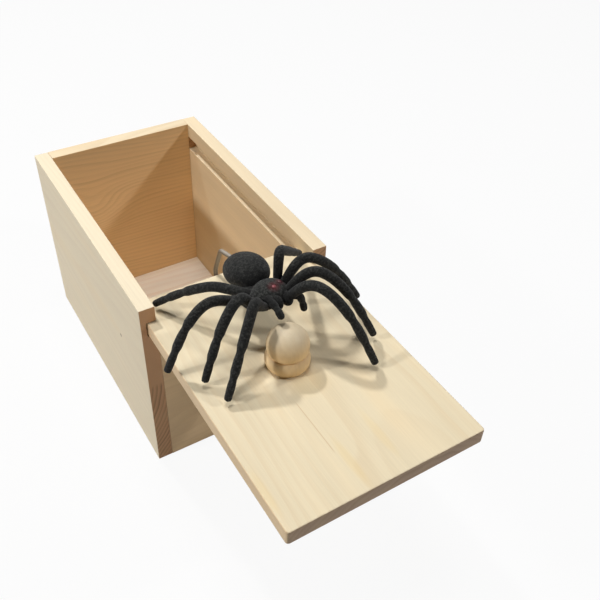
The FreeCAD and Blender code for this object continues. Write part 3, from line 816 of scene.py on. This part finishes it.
armRoute = [
    Vector((tailX, pivot.y, pivot.z + arm["tailHigh"])),
    Vector((tailX, pivot.y, pivot.z)),
    Vector((arm["aside"], pivot.y, pivot.z)),
    Vector((arm["aside"], pivot.y, lidTop + arm["kneeUp"])),
    armTop,
    Vector((spiderX, armEndY, bodyZ)),
]
armBends = [arm["bend"], arm["bend"], arm["kneeBend"], arm["topBend"]]
shape = bentWire(armRoute, armBends, arm["thick"], arm["sides"], arm["bendSteps"])
armPiece = newPiece("armWire", shape, steelFinish("wire"), "spider", "spider_arm")
sharpen(armPiece, arm["sharpFrom"])
print("arm made")


# Throw spring: a foot under the lid, turns round the pivot and a hook behind the arm's tail.
spring = {
    "thick": 0.3 * mm,
    "coil": 1.45 * mm,
    "turns": 5,
    "pitch": 1.12 * mm,
    "from": 9.1 * mm,
    "foot": 4.5 * mm,
    "footUp": 0.3 * mm,
    "hookHigh": 3.2 * mm,
    "hookLong": 2.6 * mm,
    "bend": 0.9 * mm,
    "sides": 12,
    "bendSteps": 6,
    "stepsPerTurn": 28,
    "sharpFrom": math.radians(50),
}
coilStart = Vector((spring["from"], pivot.y, pivot.z - spring["coil"]))
quarters = 4 * spring["turns"] + 1
coilLong = spring["pitch"] * quarters / 4
coilSteps = spring["stepsPerTurn"] * quarters // 4
footTip = Vector((spring["from"], pivot.y - spring["foot"], lowCorner["lid_panel"].z - spring["footUp"]))
footCorner = Vector((footTip.x, footTip.y, coilStart.z))
hookCorner = Vector((spring["from"] + coilLong, pivot.y + spring["coil"], pivot.z + spring["hookHigh"]))
bend = spring["bend"]
quarter = math.pi / 2
shape = bmesh.new()
face = wireStart(shape, footTip, -up, spring["thick"], spring["sides"])
face = feed(shape, face, footCorner + up * bend - footTip)
footBend = footCorner + up * bend + back * bend
face = turnAbout(shape, face, footBend, aside, quarter, spring["bendSteps"])
face = feed(shape, face, coilStart - footCorner - back * bend)
face = turnAbout(shape, face, pivot, aside, quarters * quarter, coilSteps, aside * coilLong)
face = feed(shape, face, up * (spring["hookHigh"] - bend))
hookBend = hookCorner - up * bend + aside * bend
face = turnAbout(shape, face, hookBend, back, quarter, spring["bendSteps"])
feed(shape, face, aside * (spring["hookLong"] - bend))
bmesh.ops.recalc_face_normals(shape, faces=shape.faces[:])
springPiece = newPiece("springWire", shape, steelFinish("spring"), None, "throw_spring")
sharpen(springPiece, spring["sharpFrom"])
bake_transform(springPiece)
print("spring made")


# Spider body: an egg of an abdomen that droops behind, and a head of a shield over a flatter chest.
bodyMesh = {"sides": 56, "rings": 40}
abdomen = {
    "length": 21.2 * mm,
    "width": 15.8 * mm,
    "high": 12.2 * mm,
    "droop": math.radians(17.5),
    "grip": 2.8 * mm,  # how far its middle lies past the arm's end, and below it
    "sink": 0.7 * mm,
    "egg": 0.05,
}
head = {
    "length": 15.6 * mm,
    "width": 13.4 * mm,
    "overlap": 1.0 * mm,
    "rise": 0.6 * mm,
    "shieldHalf": Vector((7.1, 6.2, 4.0)) * mm,
    "shieldFrom": Vector((0.3, 0.6, 0.6)) * mm,
    "chestHalf": Vector((7.8, 7.0, 3.6)) * mm,
    "chestFrom": Vector((-1.2, 4.7, -3.4)) * mm,
    # how far the shield's rim stands out and the crease draws in, then height and width of each,
    # all as shares of the shield's half sizes
    "rim": (0.05, -0.05, 0.14),
    "crease": (0.16, -0.45, 0.2),
    "chestDeep": 7.0 * mm,  # foot of the chest below the head's middle
}
eyes = {
    "dia": 1.6 * mm,
    "flat": 0.7,
    "sunk": 0.35 * mm,
    "mesh": {"sides": 20, "rings": 14},
    # aside and forward of the shield's middle, then how far and how strongly the painted red glow spreads
    # round it
    "places": [(0.4, 1.6, 2.9, 0.4), (3.6, -0.1, 2.4, 0.35)],
    "bright": (0.31, 0.07, 0.08, 1),
    "dark": (0.14, 0.016, 0.022, 1),
    "dim": (0.07, 0.010, 0.014, 1),
    "dimAcross": (0.6, 1.8),  # the eye further right than this is dim, in millimetres
    "blotScale": 1.4,
    "brightFrom": (-0.2, 0.25),
    "roughness": 0.45,
    "blotRough": 0.2,
}
jaws = {
    "half": Vector((2.0, 2.8, 2.6)) * mm,
    "mesh": {"sides": 28, "rings": 20},
    "places": [Vector((-0.3, -5.0, 0.5)) * mm, Vector((3.9, -4.4, 0.2)) * mm],
}
abdomenMiddle = Vector((spiderX, armEndY - abdomen["grip"], bodyZ - abdomen["sink"]))
abdomenFrontY = abdomenMiddle.y - abdomen["length"] / 2 * math.cos(abdomen["droop"])
headY = abdomenFrontY + head["overlap"] - head["length"] / 2
headMiddle = Vector((spiderX, headY, bodyZ + head["rise"]))
shieldMiddle = headMiddle + head["shieldFrom"]


def onShield(x, y):  # the shield's upper surface over a place beside its middle
    wide, long, high = head["shieldHalf"]
    return shieldMiddle + Vector((x, y, high * math.sqrt(1 - (x / wide) ** 2 - (y / long) ** 2)))


def eyeFinish(name):
    finish, start, coat = newFinish(name)
    sized = stretched(start.node("ShaderNodeTexCoord", output="Object"))
    blot = speckle(sized, eyes["blotScale"])
    red = tint(ease(blot, *eyes["brightFrom"]), eyes["dark"], eyes["bright"])
    dimmed = ease(apart(sized, 0), *eyes["dimAcross"])
    plug(tint(dimmed, red, eyes["dim"]), coat, "Base Color")
    plug(eyes["roughness"] + blot * eyes["blotRough"], coat, "Roughness")
    return finish


eyePlaces = [onShield(sideways * mm, -forward * mm) for sideways, forward, size, share in eyes["places"]]
glows = [
    (place / mm, size, share)
    for place, (sideways, forward, size, share) in zip(eyePlaces, eyes["places"])
]
# roots of the painted shade: the head's middle for the body, the chest's foot for the head
chestFoot = (0, 0, (headMiddle.z - head["chestDeep"]) / mm)
flock = flockFinish("flockBlack", "body", headMiddle / mm)
flockHead = flockFinish("flockHead", "head", chestFoot, glows)


def ball(shape, halves, sides, rings):
    drawn = bmesh.ops.create_uvsphere(shape, u_segments=sides, v_segments=rings, radius=1)["verts"]
    bmesh.ops.scale(shape, vec=halves, verts=drawn)
    return drawn


def bulge(height, size, middle, width):  # a soft swelling round one height
    return size * math.exp(-((height - middle) / width) ** 2)


shape = bmesh.new()
ball(shape, (1, 1, 1), **bodyMesh)
for corner in shape.verts:  # fuller behind, drawn in towards the waist
    corner.co.xz *= 1 + abdomen["egg"] * corner.co.y * (1 - corner.co.y ** 2)
bmesh.ops.scale(
    shape, vec=(abdomen["width"] / 2, abdomen["length"] / 2, abdomen["high"] / 2), verts=shape.verts[:]
)
droop = Matrix.Rotation(-abdomen["droop"], 3, "X")
bmesh.ops.rotate(shape, cent=(0, 0, 0), matrix=droop, verts=shape.verts[:])
bmesh.ops.translate(shape, vec=abdomenMiddle, verts=shape.verts[:])
newPiece("abdomenFlock", shape, flock, "spider", "spider_abdomen")

shape = bmesh.new()
drawn = ball(shape, (1, 1, 1), **bodyMesh)
rimSize = head["rim"][0]
for corner in drawn:  # a shield with a rim, drawn in below it
    rim = bulge(corner.co.z, *head["rim"])
    crease = bulge(min(corner.co.z, 0), *head["crease"])
    corner.co.xy *= 1 + rim - rimSize - crease
bmesh.ops.scale(shape, vec=head["shieldHalf"], verts=drawn)
bmesh.ops.translate(shape, vec=shieldMiddle, verts=drawn)
drawn = ball(shape, head["chestHalf"], **bodyMesh)
bmesh.ops.translate(shape, vec=headMiddle + head["chestFrom"], verts=drawn)
newPiece("headFlock", shape, flockHead, "spider", "spider_head")

shape = bmesh.new()
for place in eyePlaces:
    drawn = ball(shape, Vector((1, 1, eyes["flat"])) * eyes["dia"] / 2, **eyes["mesh"])
    bmesh.ops.translate(shape, vec=place - up * eyes["sunk"], verts=drawn)
newPiece("eyesRed", shape, eyeFinish("eyesRed"), "spider", "spider_eyes")

shape = bmesh.new()
for place in jaws["places"]:
    drawn = ball(shape, jaws["half"], **jaws["mesh"])
    bmesh.ops.translate(shape, vec=headMiddle + place, verts=drawn)
newPiece("jawsFlock", shape, flock, "spider", "spider_jaws")
print("spider body made")


# Limbs: a smooth line from a hip over a knee to a tip, thinner at each joint.
limbs = {
    "sides": 5,
    "steps": 28,
    "weld": 0.01 * mm,
    "roundTip": 1.1 * mm,
    "least": 0.12,  # what is left of the thickness at the very tip
}
legs = {
    "dia": 3.7 * mm,
    "tipUp": 2.0 * mm,
    "hipDrop": 0.6 * mm,
    "keepShut": 0.55,  # share of its reach that a leg is to keep when the lid is shut; nothing in this script reads it
    # where a leg heads for as it leaves the body, as shares of the way to its knee
    "roots": {"left": (0.54, 0.38), "right": (0.42, 0.62)},
    # way from knee to tip, and how far the bow swings out there
    "way": [(0.0, 0.0), (0.25, 0.15), (0.52, 0.19), (0.76, 0.13), (1.0, 0.0)],
    # share of the whole length, and of the thickness there
    "girths": [
        (0.0, 0.80), (0.1, 0.92), (0.2, 1.0), (0.45, 0.97), (0.58, 0.95), (0.64, 0.74),
        (0.70, 0.86), (0.77, 0.88), (0.835, 0.68), (0.88, 0.76), (1.0, 0.70),
    ],
    # forward of the head's middle, and out from it, as shares of its half sizes
    "hips": {"front": (0.5, 0.6), "second": (0.17, 0.74), "third": (-0.2, 0.76), "hind": (-0.5, 0.74)},
    # turn from straight ahead, span, knee over the head's middle, knee's share of the span, bow
    "poses": {
        "left_front": (53.2, 30.8, 9.3, 0.28, 0.05),
        "left_second": (69.1, 28.2, 8.6, 0.32, 1.37),
        "left_third": (85.5, 35.2, 5.9, 0.41, 1.85),
        "left_hind": (138.2, 38.1, -0.7, 0.37, 0.47),
        "right_front": (33.1, 34.4, 10.0, 0.29, 1.22),
        "right_second": (52.6, 32.2, 11.3, 0.3, 1.11),
        "right_third": (85.5, 32.3, 10.9, 0.26, 0.95),
        "right_hind": (136.2, 39.4, 13.2, 0.06, 0.0),
    },
}


def curveMesh(name, kind, places, radii=None):
    curve = bpy.data.curves.new(name, "CURVE")
    curve.dimensions = "3D"
    curve.resolution_u = limbs["steps"]
    spline = curve.splines.new(kind)
    spline.points.add(len(places) - 1)
    for point, place in zip(spline.points, places):
        point.co = (*place, 1)
    if radii:
        curve.bevel_depth = 1.0  # so that a point's radius is the tube's own
        curve.bevel_resolution = limbs["sides"]
        curve.use_fill_caps = True
        for point, radius in zip(spline.points, radii):
            point.radius = radius
    else:
        spline.order_u = 3
        spline.use_endpoint_u = True
    holder = bpy.data.objects.new(name, curve)
    bpy.context.collection.objects.link(holder)
    bpy.context.view_layer.update()
    mesh = bpy.data.meshes.new_from_object(holder.evaluated_get(bpy.context.evaluated_depsgraph_get()))
    bpy.data.objects.remove(holder)
    bpy.data.curves.remove(curve)
    return mesh


def girthAt(girths, share):
    for (low, before), (high, after) in zip(girths, girths[1:]):
        if share <= high:
            part = (share - low) / (high - low)
            return before + (after - before) * part * part * (3 - 2 * part)
    return girths[-1][1]


def limbShape(name, stations, thick, girths):
    line = curveMesh(name, "NURBS", stations)
    places = [corner.co.copy() for corner in line.vertices]
    bpy.data.meshes.remove(line)
    lengths = [0.0]
    for here, after in zip(places, places[1:]):
        lengths.append(lengths[-1] + (after - here).length)
    radii = []
    for length in lengths:
        short = max(0.0, 1 - (lengths[-1] - length) / limbs["roundTip"])
        rounded = max(limbs["least"], math.sqrt(1 - short ** 2))
        radii.append(thick / 2 * girthAt(girths, length / lengths[-1]) * rounded)
    tube = curveMesh(name, "POLY", places, radii)
    shape = bmesh.new()
    shape.from_mesh(tube)
    bpy.data.meshes.remove(tube)
    bmesh.ops.remove_doubles(shape, verts=shape.verts[:], dist=limbs["weld"])
    bmesh.ops.recalc_face_normals(shape, faces=shape.faces[:])
    return shape


def limbLine(hip, turn, stations):
    outward = Vector((math.sin(turn), -math.cos(turn), 0))
    return [hip + outward * reach + up * rise for reach, rise in stations]


tipDrop = headMiddle.z - (lidTop + legs["tipUp"])
for legName, (turn, span, knee, kneeShare, bow) in legs["poses"].items():
    sideName, hipName = legName.split("_")
    side = -1 if sideName == "left" else 1
    forward, sideways = legs["hips"][hipName]
    hip = headMiddle + Vector((
        side * sideways * head["width"] / 2, -forward * head["length"] / 2, -legs["hipDrop"]
    ))
    span, knee = span * mm, knee * mm
    kneeRise = legs["hipDrop"] + knee
    rootReach, rootRise = legs["roots"][sideName]
    stations = [(0, 0), (rootReach * kneeShare * span, rootRise * kneeRise)]
    for way, swing in legs["way"]:
        reach = (kneeShare + (1 - kneeShare) * way) * span
        stations.append((reach, kneeRise - (way - bow * swing) * (knee + tipDrop)))
    line = limbLine(hip, math.radians(side * turn), stations)
    shape = limbShape(legName, line, legs["dia"], legs["girths"])
    node = "spider_leg_" + legName
    piece = newPiece(joined("leg_" + legName), shape, flock, "spider", node)
    line[-1] - hip
    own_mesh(piece)

palps = {
    "dia": 2.9 * mm,
    "girths": [(0.0, 1.0), (0.4, 0.96), (0.62, 0.78), (0.75, 0.92), (1.0, 0.8)],
    # share of the length, and of the fall from the hump to the tip
    "way": [(0.45, 0.0), (0.8, 0.3), (1.0, 1.0)],
    # sideways, forward and up from the head's middle, then turn, length, hump and droop
    "poses": {
        "left": (2.8, 3.1, 2.0, 0.0, 9.8, 0.2, 1.7),
        "right": (5.0, 5.25, 1.6, 68.0, 4.9, 0.3, 7.4),
    },
}
for sideName, (sideways, forward, raised, turn, long, hump, fall) in palps["poses"].items():
    side = -1 if sideName == "left" else 1
    hip = headMiddle + Vector((side * sideways, -forward, raised)) * mm
    stations = [(0, 0)]
    stations += [(way * long * mm, (hump - drop * (hump + fall)) * mm) for way, drop in palps["way"]]
    line = limbLine(hip, math.radians(side * turn), stations)
    name = joined("palp_" + sideName)
    shape = limbShape(name, line, palps["dia"], palps["girths"])
    newPiece(name, shape, flock, "spider", "spider_palp_" + sideName)
print("spider limbs made")


# The hidden fittings keep their shapes and get their finish.
sheetSteel = steelFinish("sheet")
for node in ("knob_screw", "pivot_clip", "clip_screws"):
    fitting = frame["nodes"][node]
    fitting.data.materials.clear()
    fitting.data.materials.append(sheetSteel)
print("fittings finished")


# Floor, lights and camera.
studio = {
    "floorHalf": 2.0,
    "floorWhite": (0.72, 0.72, 0.72, 1),
    "floorRoughness": 0.9,
    "floorGlow": 0.92,  # how white the floor stays under a shadow
    "white": (1, 1, 1, 1),
    "whiteRays": ("Is Camera Ray", "Is Glossy Ray", "Is Transmission Ray"),
    "aim": Vector((0.0, -0.05, 0.06)),
    # place, size and power of each lamp, in metres and watts
    "lamps": {
        "rear": (Vector((-0.10, 0.42, 0.75)), 0.05, 3.2),
        "left": (Vector((-0.75, 0.05, 0.55)), 0.08, 2.8),
        "front": (Vector((0.66, -0.56, 0.69)), 0.08, 2.6),
        "top": (Vector((0.0, 0.0, 1.0)), 0.3, 3.3),
    },
}


def seenWhite(start):  # 1 for what the camera sees, straight or by way of metal
    straight, mirrored, through = (
        start.node("ShaderNodeLightPath", output=name) for name in studio["whiteRays"]
    )
    return start.maths("MINIMUM", straight + mirrored + through, 1.0)


shape = bmesh.new()
bmesh.ops.create_grid(shape, x_segments=1, y_segments=1, size=studio["floorHalf"])
floorMesh = bpy.data.meshes.new("floor")
shape.to_mesh(floorMesh)
shape.free()
floor = bpy.data.objects.new("floor", floorMesh)
bpy.context.collection.objects.link(floor)
floorFinish, start, coat = newFinish("floorPaper")
coat.inputs["Base Color"].default_value = studio["floorWhite"]
coat.inputs["Roughness"].default_value = studio["floorRoughness"]
coat.inputs["Specular IOR Level"].default_value = 0.0
lit = start.node("ShaderNodeEmission", None, {"Color": studio["white"], "Strength": 1.0})
paper = Socket(start.tree, coat.outputs[0])
mixed = start.node(
    "ShaderNodeMixShader", None, {0: seenWhite(start) * studio["floorGlow"], 1: paper, 2: lit}
)
plug(mixed, start.tree.nodes["Material Output"], "Surface")
floorMesh.materials.append(floorFinish)

world = bpy.data.worlds.new("studio")
bpy.context.scene.world = world
world.use_nodes = True
backdrop = world.node_tree.nodes["Background"]
backdrop.inputs["Color"].default_value = studio["white"]
plug(seenWhite(Socket(world.node_tree)), backdrop, "Strength")

for name, (place, size, power) in studio["lamps"].items():
    lamp = bpy.data.lights.new(name, "AREA")
    lamp.shape = "DISK"
    lamp.size = size
    lamp.energy = power
    holder = bpy.data.objects.new(name, lamp)
    holder.location = place
    holder.rotation_euler = (studio["aim"] - place).to_track_quat("-Z", "Y").to_euler()
    bpy.context.collection.objects.link(holder)

view = {  # fitted to the corners of the box in the photo
    "place": Vector((-99.16, -253.13, 265.13)) * mm,
    "forward": Vector((0.4126, 0.6259, -0.6619)),
    "up": Vector((0.3248, 0.5778, 0.7488)),
    "lens": 45.355,
    "sensor": 36.0,
    "nearest": 10.0 * mm,
}
lens = bpy.data.cameras.new("photo")
lens.sensor_width = view["sensor"]
lens.lens = view["lens"]
lens.clip_start = view["nearest"]
camera = bpy.data.objects.new("photo", lens)
rightward = view["forward"].cross(view["up"])
facing = Matrix((rightward, view["up"], -view["forward"])).transposed().to_4x4()
camera.matrix_world = Matrix.Translation(view["place"]) @ facing
bpy.context.collection.objects.link(camera)
bpy.context.scene.camera = camera
bpy.context.scene.view_settings.view_transform = "Standard"
print("studio made")
